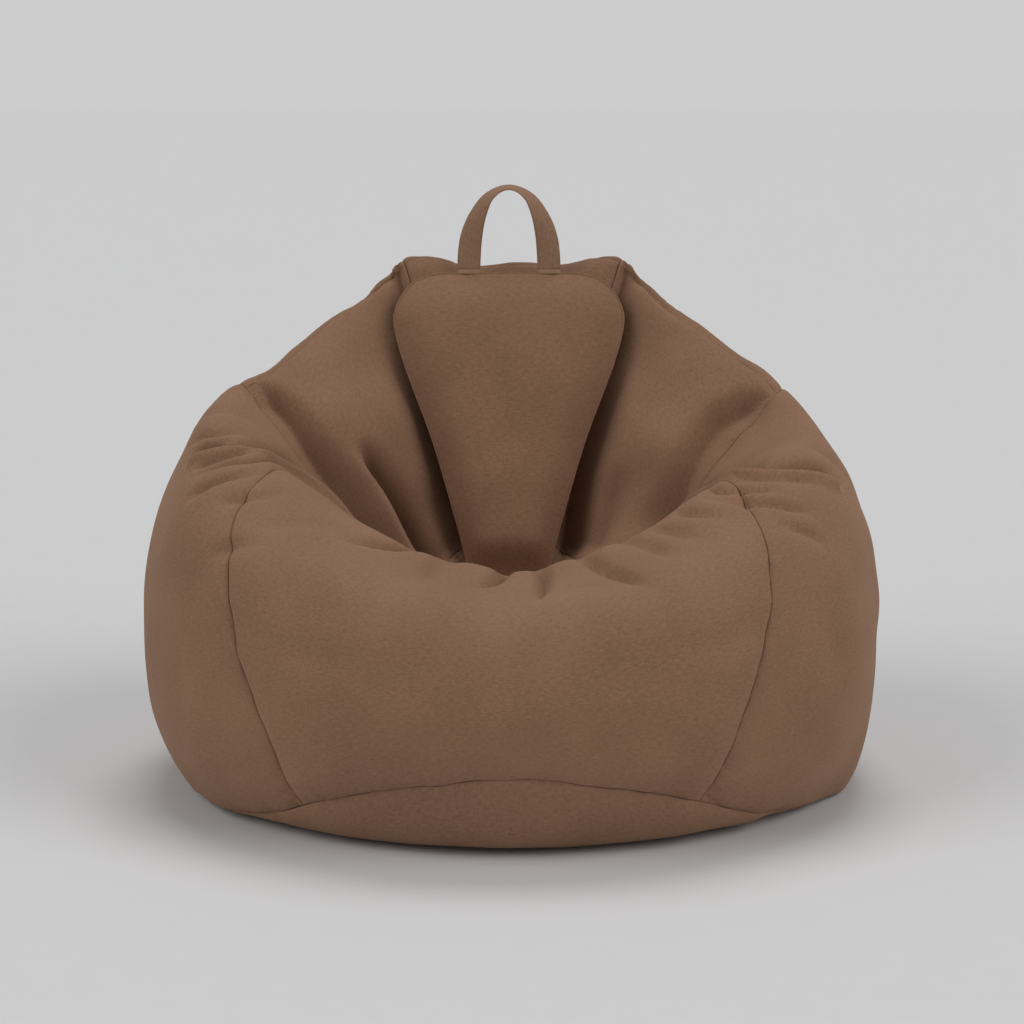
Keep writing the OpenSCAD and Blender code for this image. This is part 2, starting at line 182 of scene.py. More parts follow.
FOLDS = [
    # The deep gaps down both sides of the pad.
    fold([(-5.95, 5.9), (-5.8, 6.15), (-5.75, 6.5), (-5.76, 6.8), (-5.78, 7.07), (-5.8, 7.4), (-5.7, 7.8)],
         60, 18, 27, 0.5, (0.25, 0.12), (0.8, 1)),
    fold([(5.95, 5.95), (5.8, 6.15), (5.72, 6.4), (5.68, 6.6), (5.66, 6.85), (5.62, 7.05), (5.4, 7.4),
          (5.1, 7.7)], 60, 24, 18, 0.5, (0.25, 0.12), (0.85, 1)),
    # The soft ridges that turn into those gaps.
    fold([(-5.15, 6.0), (-5.1, 6.4), (-5.15, 6.8), (-5.2, 7.2)], -7, 22, 26, 0, (0.3, 0.3)),
    fold([(5.2, 6.1), (5.1, 6.5), (5.0, 6.9), (4.8, 7.3)], -6, 26, 22, 0, (0.3, 0.3)),
    # Grooves beside the gusset's edges, and under the rim on both sides of it.
    fold([(-5.93, 5.25), (-5.9, 5.6), (-5.87, 5.95), (-5.86, 6.3)], 15, 5, 18, 0.4, (0.15, 0.3)),
    fold([(5.93, 5.25), (5.9, 5.6), (5.87, 5.95), (5.86, 6.3)], 15, 18, 5, 0.4, (0.15, 0.3)),
    fold([(-5.9, 5.42), (-5.6, 5.3), (-5.3, 5.2)], 8, 8, 8, 0.4, (0.2, 0.6)),
    fold([(5.9, 5.45), (5.55, 5.35), (5.2, 5.22), (4.95, 5.12)], 9, 9, 9, 0.4, (0.2, 0.6)),
    # Second folds, from the middle of each wing down to the seat.
    fold([(-4.45, 6.22), (-4.46, 6.45), (-4.5, 6.7), (-4.48, 6.92), (-4.4, 7.15), (-4.25, 7.5)],
         54, 17, 12, 0.6, (0.22, 0.12), (0.7, 1.15), (0, 4)),
    fold([(4.85, 6.6), (4.72, 6.9), (4.55, 7.15), (4.4, 7.4)], 15, 17, 17, 0.3, (0.4, 0.2)),
    # Shoulder valleys between the wings and the arms, steep on the wing's side.
    fold([(-4.2, 4.95), (-4.18, 5.2), (-4.18, 5.45), (-4.13, 5.7), (-4.02, 5.95), (-3.96, 6.2), (-3.9, 6.4),
          (-3.8, 6.65), (-3.65, 6.95), (-3.5, 7.3)], 38, 16, 52, 0.5, (0.15, 0.12), (0.75, 1.15)),
    fold([(3.95, 5.05), (4.07, 5.3), (4.16, 5.55), (4.2, 5.8), (4.12, 6.05), (4.0, 6.25), (3.84, 6.5),
          (3.65, 6.9)], 34, 50, 17, 0.5, (0.22, 0.2), (0.8, 1.15)),
    # Creases behind the rolls of the arms, deepest where they drop to the seat.
    fold([(-2.76, 4.32), (-2.72, 4.52), (-2.67, 4.67), (-2.6, 4.82), (-2.54, 5.02), (-2.6, 5.24),
          (-2.92, 5.57), (-3.15, 5.82), (-3.3, 6.15), (-3.36, 6.5), (-3.36, 6.75), (-3.25, 7.1)],
         40, 18, 10, 0.7, (0.05, 0.2), (1, 1.3), (0, 9)),
    fold([(2.54, 4.14), (2.5, 4.28), (2.42, 4.44), (2.28, 4.65), (2.16, 4.88), (2.14, 5.12), (2.4, 5.45),
          (2.8, 5.8), (3.12, 6.1), (3.28, 6.35), (3.33, 6.6), (3.25, 7.0)],
         40, 10, 18, 0.7, (0.06, 0.2), (1, 1.3), (9, 0)),
    # Fine wrinkles that fan over the left arm.
    fold([(-2.52, 4.3), (-2.4, 4.65), (-2.36, 4.95), (-2.5, 5.3)], 10, 6, 7, 0.5, (0.25, 0.5)),
    fold([(-2.4, 4.25), (-2.3, 4.6), (-2.2, 4.9), (-2.35, 5.3), (-2.75, 5.7)], 12, 7, 7, 0.5, (0.2, 0.5)),
    fold([(-2.3, 4.0), (-2.15, 4.4), (-2.02, 4.72), (-1.98, 5.0)], 11, 7, 8, 0.5, (0.25, 0.5)),
    fold([(-2.0, 4.15), (-1.87, 4.4), (-1.75, 4.65), (-1.72, 4.9)], 9, 8, 8, 0.45, (0.3, 0.5)),
    fold([(-3.15, 4.3), (-3.02, 4.65), (-2.92, 5.0), (-3.1, 5.4)], 8, 9, 10, 0.35, (0.3, 0.5)),
    fold([(-2.86, 4.35), (-2.82, 4.6), (-2.76, 4.85), (-2.8, 5.1)], 9, 6, 7, 0.5, (0.3, 0.5)),
    fold([(-3.5, 4.4), (-3.4, 4.8), (-3.4, 5.2), (-3.5, 5.6)], 5, 14, 14, 0.2, (0.4, 0.5)),
    fold([(-1.62, 4.2), (-1.5, 4.5), (-1.32, 4.75), (-1.2, 4.9)], 4, 10, 11, 0.3, (0.3, 0.5)),
    fold([(-1.85, 3.7), (-1.65, 4.0), (-1.4, 4.2)], 8, 10, 11, 0.35, (0.3, 0.6)),
    # Fine wrinkles over the right arm.
    fold([(2.3, 4.25), (2.05, 4.6), (1.9, 4.9), (2.0, 5.2)], 9, 8, 8, 0.45, (0.35, 0.4)),
    fold([(1.95, 4.45), (1.8, 4.72), (1.72, 5.0), (1.9, 5.35)], 12, 7, 7, 0.5, (0.3, 0.4)),
    fold([(2.05, 4.0), (1.82, 4.32), (1.68, 4.6), (1.62, 4.9), (1.7, 5.2)], 10, 8, 7, 0.5, (0.35, 0.4)),
    fold([(1.55, 4.45), (1.45, 4.8), (1.45, 5.15)], 11, 8, 8, 0.45, (0.45, 0.35)),
    fold([(1.3, 4.35), (1.25, 4.75), (1.28, 5.2)], 9, 10, 10, 0.35, (0.5, 0.4)),
    fold([(1.95, 3.75), (1.8, 4.0), (1.62, 4.2)], 8, 8, 9, 0.4, (0.4, 0.5)),
    fold([(2.9, 3.7), (2.85, 4.1), (2.75, 4.5), (2.6, 4.9)], 6, 13, 13, 0.2, (0.4, 0.4)),
    # Pinches on the edge of the front roll.
    fold([(-1.34, 4.62), (-1.15, 4.74), (-1.0, 4.93), (-0.95, 5.3)], 22, 8, 8, 0.6, (0.5, 0.25)),
    fold([(-0.3, 4.45), (-0.16, 4.65), (-0.09, 4.9), (-0.05, 5.4)], 19, 8, 8, 0.6, (0.4, 0.25)),
    fold([(0.12, 4.1), (0.18, 4.4), (0.25, 4.8), (0.26, 5.3)], 17, 8, 9, 0.5, (0.5, 0.25)),
    fold([(0.84, 3.8), (0.74, 4.3), (0.68, 4.8), (0.7, 5.3)], 18, 12, 9, 0.5, (0.5, 0.25)),
    fold([(-0.55, 4.2), (-0.6, 4.75), (-0.62, 5.3)], 8, 13, 13, 0.25, (0.5, 0.3)),
    fold([(1.08, 4.3), (1.06, 4.8), (1.1, 5.4)], 10, 12, 12, 0.3, (0.4, 0.3)),
    # Slack across the front, low down and beside its seams.
    fold([(-0.9, 2.75), (-0.3, 2.6), (0.3, 2.62)], 2, 24, 22, 0.1, (0.5, 0.5)),
    fold([(-1.35, 3.4), (-1.0, 3.3), (-0.6, 3.4)], 5, 17, 17, 0.2, (0.3, 0.6)),
    fold([(1.4, 3.5), (1.05, 3.4), (0.7, 3.45)], 5, 17, 17, 0.2, (0.3, 0.6)),
    fold([(-1.1, 2.4), (-0.8, 2.6), (-0.5, 3.0)], 2, 18, 18, 0.1, (0.3, 0.6)),
    fold([(1.05, 2.4), (0.8, 2.6), (0.5, 2.9)], 2, 18, 18, 0.1, (0.3, 0.6)),
    # Drag lines round the back.
    fold([(5.75, 5.1), (5.45, 4.6), (5.2, 4.1), (5.15, 3.5)], 20, 20, 24, 0.4, (0.2, 0.5), (0.7, 1.3)),
    fold([(-5.75, 5.1), (-5.5, 4.65), (-5.3, 4.2), (-5.1, 3.6)], 22, 24, 20, 0.4, (0.2, 0.5), (0.7, 1.3)),
    fold([(6.7, 5.1), (6.6, 4.6), (6.7, 4.1)], 14, 14, 16, 0.4, (0.2, 0.6)),
    fold([(-6.8, 5.1), (-6.6, 4.7), (-6.55, 4.2)], 15, 15, 17, 0.4, (0.2, 0.6)),
    fold([(7.6, 5.05), (7.5, 4.7), (7.55, 4.3)], 11, 11, 12, 0.4, (0.2, 0.6)),
    fold([(-7.5, 5.1), (-7.65, 4.8), (-7.6, 4.4)], 12, 12, 11, 0.4, (0.2, 0.6)),
    fold([(4.4, 4.2), (4.9, 4.05), (5.5, 4.1)], 14, 20, 18, 0.35, (0.4, 0.5)),
    fold([(-4.3, 4.1), (-4.9, 3.9), (-5.6, 3.95)], 14, 18, 20, 0.35, (0.4, 0.5)),
    fold([(4.15, 3.3), (4.7, 3.15), (5.2, 3.3)], 8, 16, 14, 0.3, (0.4, 0.5)),
    fold([(-4.3, 3.2), (-4.8, 3.0), (-5.3, 3.15)], 8, 14, 16, 0.3, (0.4, 0.5)),
    fold([(6.3, 3.6), (6.9, 3.45), (7.5, 3.6)], 8, 16, 14, 0.3, (0.4, 0.5)),
    fold([(-6.2, 3.4), (-6.8, 3.25), (-7.4, 3.45)], 8, 14, 16, 0.3, (0.4, 0.5)),
    fold([(3.2, 2.35), (3.6, 2.5), (4.2, 2.45)], 10, 13, 15, 0.35, (0.4, 0.4)),
    fold([(-3.3, 2.4), (-3.9, 2.55), (-4.5, 2.42)], 10, 13, 15, 0.35, (0.4, 0.4)),
    fold([(4.6, 2.5), (5.3, 2.62), (6.0, 2.5)], 9, 13, 15, 0.35, (0.4, 0.4)),
    fold([(6.2, 2.4), (6.9, 2.55), (7.5, 2.45)], 10, 14, 15, 0.35, (0.4, 0.4)),
    fold([(-6.0, 2.4), (-6.8, 2.58), (-7.6, 2.46)], 10, 14, 15, 0.35, (0.4, 0.4)),
]

# Soft swellings and hollows: u, s, reach and height.
LUMPS = [
    (-4.85, 6.35, 75, 14), (4.75, 6.3, 85, 12),
    (-3.35, 5.1, 55, 5), (3.1, 5.1, 60, 2), (6.5, 5.2, 55, -7), (8, 5.2, 90, -5), (-7, 5.2, 40, -3),
    (-2.0, 5.05, 70, 8), (1.75, 5.15, 70, 8),
    (-0.37, 4.9, 32, 7), (0.48, 4.9, 32, 7), (-0.78, 4.9, 30, 6), (0.9, 4.95, 30, 6), (0.1, 4.85, 24, 5),
    (6.02, 5.5, 18, 5), (-6.02, 5.55, 18, 7),
    (7, 4.7, 90, 8), (-7, 4.6, 100, 9),
    (3.2, 4.9, 90, -7), (-4.5, 5.05, 60, -9), (-5.15, 5.15, 55, 5), (-3.1, 4.75, 60, -6),
    (-3.85, 4.9, 40, 7), (2.75, 1.55, 75, 15), (3.4, 4.0, 130, -6), (3.4, 2.9, 110, -7), (-3.4, 2.6, 120, 3),
]


# The cloth's own unevenness: height, length and seed of its ripples.
SLACK = [(2.6, 210, 4), (1.2, 90, 7)]
PATH_SPACING = 4        # distance between points of a fold's line
FOLD_CUT = 3.2          # where a fold ends, in reaches from its line
CRISP_FALL = 2.0        # how fast a crisp bottom rises
LIP_AT = 2.0            # where a lip is highest, in reaches from the line
LIP_WIDE = 0.9
AT_ONCE = 20000         # points compared at once, which bounds the memory used
RELIEF_FADE = 0.5       # stations above the floor's edge over which the relief grows to its full height


def along(path):
    """A path of (u, s) as evenly spaced points on the smooth surface, with their normals."""
    uv = curve(np.array(path, float), np.linspace(0, len(path) - 1, 40 * len(path)))
    points = skin(uv[:, 0], uv[:, 1])
    gone = np.concatenate([[0], np.cumsum(np.linalg.norm(np.diff(points, axis=0), axis=1))])
    at = np.linspace(0, gone[-1], max(3, int(gone[-1] / PATH_SPACING)))
    uv = np.stack([np.interp(at, gone, uv[:, 0]), np.interp(at, gone, uv[:, 1])], -1)
    return skin(uv[:, 0], uv[:, 1]), outward(uv[:, 0], uv[:, 1])


def nearest(points, line):
    """The number of the nearest point of a line, for each point."""
    found = np.zeros(len(points), int)
    for start in range(0, len(points), AT_ONCE):
        part = points[start:start + AT_ONCE]
        gaps = ((part[:, None] - line[None]) ** 2).sum(-1)
        found[start:start + AT_ONCE] = gaps.argmin(1)
    return found


def add_fold(heights, points, one):
    """Adds one fold to the heights of the points near its line."""
    line, normals = along(one["path"])
    sideways = unit(np.cross(normals, np.gradient(line, axis=0)))
    widest = FOLD_CUT * max(one["reach"]) * max(one["grow"])
    near = ((points > line.min(0) - widest) & (points < line.max(0) + widest)).all(-1)
    here = points[near]
    if not len(here):
        return
    j = nearest(here, line)
    share = j / (len(line) - 1)
    away = here - line[j]
    side = (away * sideways[j]).sum(-1)
    grow = one["grow"][0] + (one["grow"][1] - one["grow"][0]) * share
    reach = np.where(side > 0, one["reach"][1], one["reach"][0]) * grow
    x = np.linalg.norm(away, axis=-1) / reach
    strength = ease(share / one["fade"][0]) * ease((1 - share) / one["fade"][1]) * grow
    valley = (1 - one["crisp"]) * np.exp(-x * x) + one["crisp"] * np.exp(-CRISP_FALL * x)
    lip = np.where(side > 0, one["lip"][1], one["lip"][0]) * np.exp(-(((x - LIP_AT) / LIP_WIDE) ** 2))
    heights[near] += strength * (lip - one["depth"] * valley)


def relief(points):
    """How far the cloth stands out from the smooth surface at these points."""
    flat = points.reshape(-1, 3)
    heights = sum(height * ripple(flat, length, seed) for height, length, seed in SLACK)
    for one in FOLDS:
        add_fold(heights, flat, one)
    for u, s, reach, height in LUMPS:
        gap = np.linalg.norm(flat - skin(u, s), axis=-1)
        heights += height * np.exp(-((gap / reach) ** 2))
    return heights.reshape(points.shape[:-1])


# The base seam rises at the front and drops under the bag at its sides: [direction, shift in
# stations] from the front to the back, on both sides.
SEAM_SHIFT = [(0, 0.06), (0.6, 0.01), (1.15, -0.16), (1.5, -0.32), (2, -0.45), (2.6, -0.5), (4, -0.48),
              (8, -0.3)]


def seam_shift(u, s):
    """Stations with the base seam moved to its place; it fades out one station above and below."""
    from_front = np.abs((u + BACK) % AROUND - BACK)
    shift = np.interp(from_front, *zip(*SEAM_SHIFT))
    return s + shift * ease(1 - np.abs(s - BASE_SEAM))


def draped(u, s, depth=0):
    """Points of the folded cloth, at a depth under its outer face."""
    s = seam_shift(u, s)
    points = skin(u, s)
    heights = relief(points)
    rise = ease((s - FLOOR) / RELIEF_FADE)
    normals = outward(u, s)
    folded = points + normals * (heights * rise - depth)[..., None]
    folded[..., 2] = np.maximum(folded[..., 2], 0)
    return folded, normals


# ---- Mesh building ------------------------------------------------------------------------------
def piece(name, points, faces, uvs, material, body, replaced, slot):
    """A mesh object in metres that rides on a body and stands for CAD nodes."""
    mesh = bpy.data.meshes.new(name)
    mesh.from_pydata((np.asarray(points) * MM).tolist(), [], [list(face) for face in faces])
    layer = mesh.uv_layers.new(name="cloth")
    corner = np.zeros(len(mesh.loops), np.int32)
    mesh.loops.foreach_get("vertex_index", corner)
    layer.data.foreach_set("uv", (np.asarray(uvs, float)[corner] * MM).astype(np.float32).ravel())
    mesh.polygons.foreach_set("use_smooth", [True] * len(mesh.polygons))
    mesh.materials.append(material)
    made = bpy.data.objects.new(name, mesh)
    bpy.context.scene.collection.objects.link(made)
    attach(made, body)
    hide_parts(*replaced)
    return made


def grid_faces(rows, cols, wrap=False, start=0):
    """Quads over a grid of points, whose columns may close into a ring."""
    r = np.arange(rows - 1)[:, None]
    c = np.arange(cols if wrap else cols - 1)[None]
    d = (c + 1) % cols
    corners = [r * cols + c, r * cols + d, (r + 1) * cols + d, (r + 1) * cols + c]
    return (np.stack(corners, -1).reshape(-1, 4) + start).tolist()


def arc(points, axis):
    """Distance gone along one axis of a grid of points."""
    steps = np.linalg.norm(np.diff(points, axis=axis), axis=-1)
    start = np.zeros_like(np.take(steps, [0], axis))
    return np.concatenate([start, np.cumsum(steps, axis)], axis)


def flat_uvs(points):
    """Where each point of a grid lies on the flat cloth, in millimetres."""
    across, up = arc(points, 1), arc(points, 0)
    middle = across.shape[1] // 2
    across = across - across[:, middle:middle + 1]
    up = np.repeat(up.mean(1, keepdims=True), points.shape[1], 1)
    return np.stack([across, up], -1)


def spread(count, crowd=0.6):
    """Shares from 0 to 1, closer together at both ends."""
    t = np.linspace(0, 1, count)
    return t - crowd * np.sin(2 * np.pi * t) / (2 * np.pi)


def solid(made, thickness):
    """Gives a sheet its thickness, inwards from its face."""
    shell = made.modifiers.new("cloth_thickness", "SOLIDIFY")
    shell.thickness = thickness * MM
    shell.offset = -1
    return made


# ---- Materials ----------------------------------------------------------------------------------
def linear(code):
    """A linear colour from an sRGB hex value."""
    parts = [int(code[i:i + 2], 16) / 255 for i in (1, 3, 5)]
    return tuple(c / 12.92 if c <= 0.04045 else ((c + 0.055) / 1.055) ** 2.4 for c in parts) + (1,)


def add(tree, kind, values=None, links=None, **settings):
    """A new node with its settings, its socket values and its incoming links."""
    made = tree.nodes.new(kind)
    for name, value in settings.items():
        setattr(made, name, value)
    for socket, value in (values or {}).items():
        made.inputs[socket].default_value = value
    for socket, source in (links or {}).items():
        tree.links.new(source, made.inputs[socket])
    return made


def mixed(tree, kind, share, a, b):
    """Two outputs mixed, with this share of the second."""
    return add(tree, "ShaderNodeMix", {"Factor": share}, {"A": a, "B": b}, data_type=kind).outputs["Result"]


def new_material(name, **shader):
    """A material, its node tree and its Principled shader with these socket values."""
    made = bpy.data.materials.new(name)
    made.use_nodes = True
    tree = made.node_tree
    principled = tree.nodes["Principled BSDF"]
    for socket, value in shader.items():
        principled.inputs[socket.replace("_", " ")].default_value = value
    return made, tree, principled


def threads(tree, cloth, along, across):
    """Uneven threads, from their lengths and widths in millimetres, on coordinates in metres."""
    scale = {"Scale": (1000 / along, 1000 / across, 1)}
    placed = add(tree, "ShaderNodeMapping", scale, {"Vector": cloth}).outputs[0]
    noise = {"Scale": 1, "Detail": 3, "Roughness": 0.6}
    return add(tree, "ShaderNodeTexNoise", noise, {"Vector": placed}).outputs["Fac"]


def finished(tree, principled, colour, height, strength, bump):
    """Links a colour and a relief of this height in millimetres to the shader."""
    depth = {"Strength": strength, "Distance": bump * MM}
    raised = add(tree, "ShaderNodeBump", depth, {"Height": height})
    tree.links.new(colour, principled.inputs["Base Color"])
    tree.links.new(raised.outputs["Normal"], principled.inputs["Normal"])


def woven(name, dark, light, thread, slub, bump, **shader):
    """Plain-woven cloth: threads both ways, slubs along the weft and a faint unevenness of the dye."""
    made, tree, principled = new_material(name, **shader)
    cloth = add(tree, "ShaderNodeUVMap", uv_map="cloth").outputs["UV"]
    weft = threads(tree, cloth, slub, thread)
    warp = threads(tree, cloth, thread, slub / 1.4)
    place = add(tree, "ShaderNodeTexCoord").outputs["Object"]
    dye = add(tree, "ShaderNodeTexNoise", {"Scale": 9, "Detail": 4}, {"Vector": place}).outputs["Fac"]
    weave = mixed(tree, "FLOAT", 0.42, weft, warp)
    ramp = add(tree, "ShaderNodeValToRGB", links={"Fac": mixed(tree, "FLOAT", 0.25, weave, dye)})
    for stop, position, code in zip(ramp.color_ramp.elements, (0.32, 0.68), (dark, light)):
        stop.position = position
        stop.color = linear(code)
    finished(tree, principled, ramp.outputs["Color"], weave, 0.5, bump)
    return made


def grained(name, dark, light, cell, bump, pattern="ShaderNodeTexNoise", **shader):
    """A moulded, cast or foamed surface: a fine grain, in millimetres, in its colour and relief."""
    made, tree, principled = new_material(name, **shader)
    place = add(tree, "ShaderNodeTexCoord").outputs["Object"]
    grain = add(tree, pattern, {"Scale": 1000 / cell}, {"Vector": place}).outputs[0]
    ends = {"A": linear(dark), "B": linear(light)}
    colour = add(tree, "ShaderNodeMix", ends, {"Factor": grain}, data_type="RGBA")
    finished(tree, principled, colour.outputs["Result"], grain, 0.4, bump)
    return made


# Linen-look plain weave of polyester and cotton, piece dyed. Its yarns are 0.5 mm, drawn 2.1 mm
# thick so that they show. The fibre ends on its face give a soft, dry sheen.
DRY_SHEEN = {"Sheen_Roughness": 0.5, "Sheen_Tint": linear("#d8b79c"), "Specular_IOR_Level": 0.2}
COVER = woven("plain_weave_linen_look", "#755744", "#99755c", 2.1, 7, 0.5,
              Roughness=0.92, Sheen_Weight=0.22, **DRY_SHEEN)
# The same cloth drawn tight over the pad's foam, so its slubs lie straighter.
PAD_CLOTH = woven("plain_weave_linen_look_tight", "#725441", "#957259", 2.1, 8, 0.4,
                  Roughness=0.92, Sheen_Weight=0.2, **DRY_SHEEN)
# The strap is the cover cloth folded lengthwise, so its weft shows across a narrow band.
STRAP_CLOTH = woven("folded_linen_look_strap", "#7e604c", "#a17f66", 2.1, 8, 0.4,
                    Roughness=0.9, Sheen_Weight=0.2, **DRY_SHEEN)
# Polyester taffeta, calendered smooth: finer and a little shinier than the cover.
LINING_CLOTH = woven("polyester_taffeta_lining", "#5d4738", "#6d5545", 1.0, 12, 0.15,
                     Roughness=0.6, Specular_IOR_Level=0.35)
# Satin-woven label tape, blank.
LABEL_CLOTH = woven("satin_label_tape", "#e6e2d8", "#f3f0e8", 0.8, 9, 0.1,
                    Roughness=0.5, Specular_IOR_Level=0.4)
# Open-cell polyurethane foam, cut from a block: its cells are 1 mm, drawn 3 mm.
FOAM = grained("polyurethane_foam", "#e6dcb4", "#f4edd0", 3, 0.8, "ShaderNodeTexVoronoi",
               Roughness=0.95, Specular_IOR_Level=0.2)
# Tight polyester ticking that keeps the beads in.
LINER_CLOTH = woven("polyester_ticking", "#d3d0c6", "#e4e1d8", 1.2, 16, 0.2,
                    Roughness=0.75, Specular_IOR_Level=0.3)
# Expanded polystyrene beads, 4 mm across.
BEADS = grained("expanded_polystyrene_beads", "#fbfbfb", "#dededc", 4, 2, "ShaderNodeTexVoronoi",
                Roughness=0.8, Specular_IOR_Level=0.3)
# Woven polyester zip tape, with close warp ribs.
ZIP_TAPE = woven("woven_zip_tape", "#46362b", "#574437", 0.9, 20, 0.3,
                 Roughness=0.8, Specular_IOR_Level=0.3)
LINER_TAPE = woven("woven_liner_zip_tape", "#d8d5cb", "#e8e6de", 0.9, 20, 0.3,
                   Roughness=0.8, Specular_IOR_Level=0.3)
# Injection-moulded acetal teeth, with the slight haze of a spark-eroded mould.
ACETAL = grained("moulded_acetal", "#3f3128", "#4a3b31", 0.4, 0.05, Roughness=0.42)
LINER_ACETAL = grained("moulded_acetal_white", "#dcdad2", "#e8e6df", 0.4, 0.05, Roughness=0.42)
# Zinc alloy sliders, die cast and sprayed with satin enamel.
SATIN_COAT = {"Roughness": 0.35, "Coat_Weight": 0.3, "Coat_Roughness": 0.2}
ENAMEL = grained("enamelled_zinc", "#4a3d33", "#584a3f", 0.8, 0.04, **SATIN_COAT)
LINER_ENAMEL = grained("enamelled_zinc_white", "#dad8d0", "#e6e4dc", 0.8, 0.04, **SATIN_COAT)

# ---- Cover panels -------------------------------------------------------------------------------
SEAM_DEPTH = 5.5        # how far a seam pulls the cloth in
MOST_PULL = 1.2         # the most that several seams pull in, in seam depths
SEAM_UNEVEN = 0.4       # how much the pull changes along a seam
CREASE_REACH = 4.5      # reach of the sharp half of a seam's dip
DIP_REACH = 20          # reach of its soft half
PUCKER = 1.1            # height of the puckers that the stitches leave
PUCKER_REACH = 14
PUCKER_START = 3        # distance from the seam over which the puckers begin
CLOTH = 1.5             # thickness of the cover cloth
ALLOWANCE = 4           # width of the edges turned inside
SEAM_HALF = 0.5         # half of the gap between two panels, which their turned edges close
SPACING = 3.6           # distance between points of a panel
SAMPLES = 60            # places at which a panel's width and height are measured
SEAM_CLEAR = 0.004      # stations by which the seat and the base stay clear of their seam


def seam_pull(gap, edge):
    """How far the cloth dips at a distance from a seam, given the points of the seam."""
    tight = 1 + SEAM_UNEVEN * ripple(edge, length=70, seed=11)
    dip = SEAM_DEPTH * tight * (0.5 * np.exp(-gap / CREASE_REACH) + 0.5 * np.exp(-gap / DIP_REACH))
    puckers = PUCKER * np.exp(-gap / PUCKER_REACH) * ripple(edge, length=17, seed=12)
    return dip - puckers * (1 - np.exp(-gap / PUCKER_START))


def sewn(points, normals, seams):
    """Pulls a grid in at its seamed edges, and adds the edges that are turned inside.
    Each seam has its share of the full pull."""
    across, up = arc(points, 1), arc(points, 0)
    gaps = {"start": across, "end": across[:, -1:] - across, "low": up, "high": up[-1:] - up}
    edges = {"start": points[:, :1], "end": points[:, -1:], "low": points[:1], "high": points[-1:]}
    dips = []
    for seam, share in seams.items():
        edge = np.broadcast_to(edges[seam], points.shape)
        dips.append(share * seam_pull(gaps[seam], edge))
    points = points - normals * np.minimum(sum(dips), MOST_PULL * SEAM_DEPTH)[..., None]
    ring = ((1, 1), (1, 1), (0, 0))
    wide = np.pad(points, ring, "edge")
    sunk = np.pad(normals * ALLOWANCE, ring, "edge")
    for rim, inner, next_in in (
        (np.s_[0], np.s_[1], np.s_[2]),
        (np.s_[-1], np.s_[-2], np.s_[-3]),
        (np.s_[:, 0], np.s_[:, 1], np.s_[:, 2]),
        (np.s_[:, -1], np.s_[:, -2], np.s_[:, -3]),
    ):
        wide[rim] = wide[inner] + SEAM_HALF * unit(wide[inner] - wide[next_in]) - sunk[rim]
    wide[..., 2] = np.maximum(wide[..., 2], 0)
    return wide, np.pad(flat_uvs(points), ring, "edge")


def cover_panel(name, low, high, start, end, pulls):
    """A panel between two seams, from station low to station high."""
    levels = np.linspace(low, high, SAMPLES)
    tall = arc(skin((start(levels) + end(levels)) / 2, levels)[:, None], 0).max()
    wide = max(arc(skin(np.linspace(start(s), end(s), SAMPLES), s)[None], 1).max() for s in levels[::6])
    rows, cols = int(tall / SPACING) + 4, int(wide / SPACING) + 4
    s = (low + (high - low) * spread(rows))[:, None]
    first, last = start(s), end(s)
    gap = SEAM_HALF * 2 / np.linalg.norm(skin(first + 1, s) - skin(first - 1, s), axis=-1)
    u = first + gap + (last - first - 2 * gap) * spread(cols)[None]
    s = np.broadcast_to(s, u.shape)
    points, normals = draped(u, s)
    points, uvs = sewn(points, normals, dict(zip(("start", "end", "low", "high"), pulls)))
    made = piece(name + "_cloth", points.reshape(-1, 3), grid_faces(*points.shape[:2]),
                 uvs.reshape(-1, 2), COVER, "cover", [name], "cover_fabric")
    solid(made, CLOTH)


def rear_seam(s):
    """Direction of the seam behind the arm, which turns forwards over the rim."""
    return np.where(s < RIM, 5.25 - 1.25 * (s - BASE_SEAM) / (RIM - BASE_SEAM), 4 - 0.22 * (s - RIM))


def straight(direction):
    """A seam that runs straight up one direction."""
    return lambda s: np.full_like(np.asarray(s, float), direction)


# The two front seams, as (station, direction). Cut and sewn by hand, they aren't quite alike.
LEFT_FRONT_SEAM = [(2, 1.24), (2.7, 1.31), (3.2, 1.48), (3.6, 1.62), (4.0, 1.74), (4.4, 1.85), (4.75, 1.95),
                   (5.2, 2.12), (7, 2.45)]
RIGHT_FRONT_SEAM = [(2, 1.07), (2.7, 1.18), (3.2, 1.32), (3.6, 1.43), (3.9, 1.5), (4.3, 1.59), (4.6, 1.68),
                    (4.85, 1.8), (5.3, 1.95), (7, 2.45)]


def left_front(s):
    return -np.interp(s, *zip(*LEFT_FRONT_SEAM))


def right_front(s):
    return np.interp(s, *zip(*RIGHT_FRONT_SEAM))


def left_rear(s):
    return -rear_seam(s)


